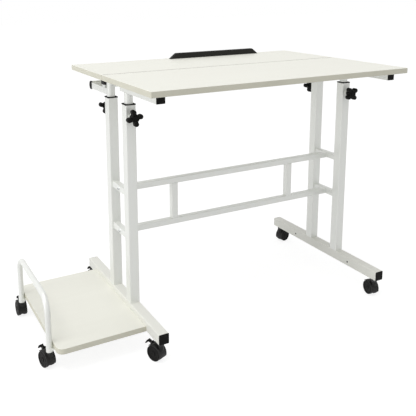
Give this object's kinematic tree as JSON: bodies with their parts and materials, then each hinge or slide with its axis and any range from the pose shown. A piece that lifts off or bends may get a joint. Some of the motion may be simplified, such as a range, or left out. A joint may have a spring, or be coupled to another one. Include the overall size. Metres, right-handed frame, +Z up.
{
  "type": "mobile standing desk",
  "caption": "Mobile standing desk: a level board and a tilting board on clamped telescopic columns, over a steel base with side shelf, guard rail and braked twin-wheel casters.",
  "frame": {"origin": "on the floor, at the centre of the whole footprint", "axes": "+X along the table, away from the side shelf; +Y from the level front board to the tilting rear board; +Z up"},
  "size_m": [1.1108, 0.6, 0.769],
  "materials": {
    "white_steel": "satin white powder coat",
    "board": "off-white laminate with a faint grain",
    "black_plastic": "matte black moulding",
    "wheel_plastic": "matte black wheel",
    "pad_rubber": "black rubber",
    "zinc_steel": "zinc plated"
  },
  "bodies": {
    "base": {"leg_front_left": "white_steel", "leg_rear_left": "white_steel", "leg_front_right": "white_steel", "leg_rear_right": "white_steel", "foot_left": "white_steel", "foot_right": "white_steel", "foot_caps": "black_plastic", "leg_collars": "black_plastic", "crossbars": "white_steel", "stretcher_upper": "white_steel", "stretcher_lower": "white_steel", "stretcher_uprights": "white_steel", "frame_fasteners": "zinc_steel", "clamp_nuts": "white_steel", "caster_stems": "zinc_steel", "side_shelf": "board", "shelf_guard": "white_steel"},
    "front_tier": {"front_post_left": "white_steel", "front_post_right": "white_steel", "front_rail_left": "white_steel", "front_rail_right": "white_steel", "front_rail_caps": "black_plastic", "front_post_glides": "black_plastic", "front_board": "board", "front_board_screws": "zinc_steel"},
    "rear_tier": {"rear_post_left": "white_steel", "rear_post_right": "white_steel", "rear_arm_left": "white_steel", "rear_arm_right": "white_steel", "rear_post_glides": "black_plastic", "rear_post_caps": "black_plastic", "rest_pads": "pad_rubber", "tilt_tube": "white_steel", "tilt_tube_caps": "black_plastic"},
    "tilting_board": {"rear_board": "board", "edge_stop": "black_plastic", "tilt_saddles": "black_plastic", "tilt_straps": "black_plastic", "tilt_screws": "zinc_steel"},
    "knob_front_left": {"knob_front_left": "black_plastic"},
    "knob_rear_left": {"knob_rear_left": "black_plastic"},
    "knob_front_right": {"knob_front_right": "black_plastic"},
    "knob_rear_right": {"knob_rear_right": "black_plastic"},
    "caster_front_left": {"housing_front_left": "black_plastic"},
    "wheels_front_left": {"wheels_front_left": "wheel_plastic"},
    "brake_front_left": {"brake_front_left": "black_plastic"},
    "caster_rear_left": {"housing_rear_left": "black_plastic"},
    "wheels_rear_left": {"wheels_rear_left": "wheel_plastic"},
    "brake_rear_left": {"brake_rear_left": "black_plastic"},
    "caster_front_right": {"housing_front_right": "black_plastic"},
    "wheels_front_right": {"wheels_front_right": "wheel_plastic"},
    "caster_rear_right": {"housing_rear_right": "black_plastic"},
    "wheels_rear_right": {"wheels_rear_right": "wheel_plastic"},
    "caster_shelf_front": {"housing_shelf_front": "black_plastic"},
    "wheels_shelf_front": {"wheels_shelf_front": "wheel_plastic"},
    "brake_shelf_front": {"brake_shelf_front": "black_plastic"},
    "caster_shelf_rear": {"housing_shelf_rear": "black_plastic"},
    "wheels_shelf_rear": {"wheels_shelf_rear": "wheel_plastic"},
    "brake_shelf_rear": {"brake_shelf_rear": "black_plastic"}
  },
  "joints": [
    {"name": "front_lift", "type": "slide", "parent": "base", "child": "front_tier", "axis": [0, 0, 1], "range_m": [-0.03, 0.37]},
    {"name": "rear_lift", "type": "slide", "parent": "base", "child": "rear_tier", "axis": [0, 0, 1], "range_m": [-0.003, 0.37]},
    {"name": "rear_board_tilt", "type": "hinge", "parent": "rear_tier", "child": "tilting_board", "pos_m": [0.12811, 0.206, 0.6945], "axis": [-1, 0, 0], "range_deg": [0, 60]},
    {"name": "knob_front_left_turn", "type": "hinge", "parent": "base", "child": "knob_front_left", "pos_m": [-0.25789, -0.086, 0.646], "axis": [0, -1, 0], "continuous": true},
    {"name": "knob_rear_left_turn", "type": "hinge", "parent": "base", "child": "knob_rear_left", "pos_m": [-0.25789, 0.0735, 0.646], "axis": [0, 1, 0], "continuous": true},
    {"name": "knob_front_right_turn", "type": "hinge", "parent": "base", "child": "knob_front_right", "pos_m": [0.51411, -0.086, 0.646], "axis": [0, -1, 0], "continuous": true},
    {"name": "knob_rear_right_turn", "type": "hinge", "parent": "base", "child": "knob_rear_right", "pos_m": [0.51411, 0.0735, 0.646], "axis": [0, 1, 0], "continuous": true},
    {"name": "swivel_front_left", "type": "hinge", "parent": "base", "child": "caster_front_left", "pos_m": [-0.25789, -0.2545, 0.05], "axis": [0, 0, 1], "continuous": true},
    {"name": "roll_front_left", "type": "hinge", "parent": "caster_front_left", "child": "wheels_front_left", "pos_m": [-0.26453, -0.23885, 0.0225], "axis": [-0.9205, -0.3907, 0], "continuous": true},
    {"name": "brake_front_left_press", "type": "hinge", "parent": "caster_front_left", "child": "brake_front_left", "pos_m": [-0.27012, -0.22568, 0.0454], "axis": [-0.9205, -0.3907, 0], "range_deg": [0, 22]},
    {"name": "swivel_rear_left", "type": "hinge", "parent": "base", "child": "caster_rear_left", "pos_m": [-0.25789, 0.247, 0.05], "axis": [0, 0, 1], "continuous": true},
    {"name": "roll_rear_left", "type": "hinge", "parent": "caster_rear_left", "child": "wheels_rear_left", "pos_m": [-0.26026, 0.26383, 0.0225], "axis": [-0.9903, -0.1392, 0], "continuous": true},
    {"name": "brake_rear_left_press", "type": "hinge", "parent": "caster_rear_left", "child": "brake_rear_left", "pos_m": [-0.26225, 0.278, 0.0454], "axis": [-0.9903, -0.1392, 0], "range_deg": [0, 22]},
    {"name": "swivel_front_right", "type": "hinge", "parent": "base", "child": "caster_front_right", "pos_m": [0.51411, -0.2545, 0.05], "axis": [0, 0, 1], "continuous": true},
    {"name": "roll_front_right", "type": "hinge", "parent": "caster_front_right", "child": "wheels_front_right", "pos_m": [0.51706, -0.23776, 0.0225], "axis": [-0.9848, 0.1736, 0], "continuous": true},
    {"name": "swivel_rear_right", "type": "hinge", "parent": "base", "child": "caster_rear_right", "pos_m": [0.51411, 0.247, 0.05], "axis": [0, 0, 1], "continuous": true},
    {"name": "roll_rear_right", "type": "hinge", "parent": "caster_rear_right", "child": "wheels_rear_right", "pos_m": [0.53074, 0.25053, 0.0225], "axis": [-0.2079, 0.9781, 0], "continuous": true},
    {"name": "swivel_shelf_front", "type": "hinge", "parent": "base", "child": "caster_shelf_front", "pos_m": [-0.53219, -0.143, 0.05], "axis": [0, 0, 1], "continuous": true},
    {"name": "roll_shelf_front", "type": "hinge", "parent": "caster_shelf_front", "child": "wheels_shelf_front", "pos_m": [-0.5363, -0.12651, 0.0225], "axis": [-0.9703, -0.2419, 0], "continuous": true},
    {"name": "brake_shelf_front_press", "type": "hinge", "parent": "caster_shelf_front", "child": "brake_shelf_front", "pos_m": [-0.53976, -0.11262, 0.0454], "axis": [-0.9703, -0.2419, 0], "range_deg": [0, 22]},
    {"name": "swivel_shelf_rear", "type": "hinge", "parent": "base", "child": "caster_shelf_rear", "pos_m": [-0.53219, 0.155, 0.05], "axis": [0, 0, 1], "continuous": true},
    {"name": "roll_shelf_rear", "type": "hinge", "parent": "caster_shelf_rear", "child": "wheels_shelf_rear", "pos_m": [-0.53189, 0.172, 0.0225], "axis": [-0.9998, 0.0175, 0], "continuous": true},
    {"name": "brake_shelf_rear_press", "type": "hinge", "parent": "caster_shelf_rear", "child": "brake_shelf_rear", "pos_m": [-0.53164, 0.1863, 0.0454], "axis": [-0.9998, 0.0175, 0], "range_deg": [0, 22]}
  ]
}
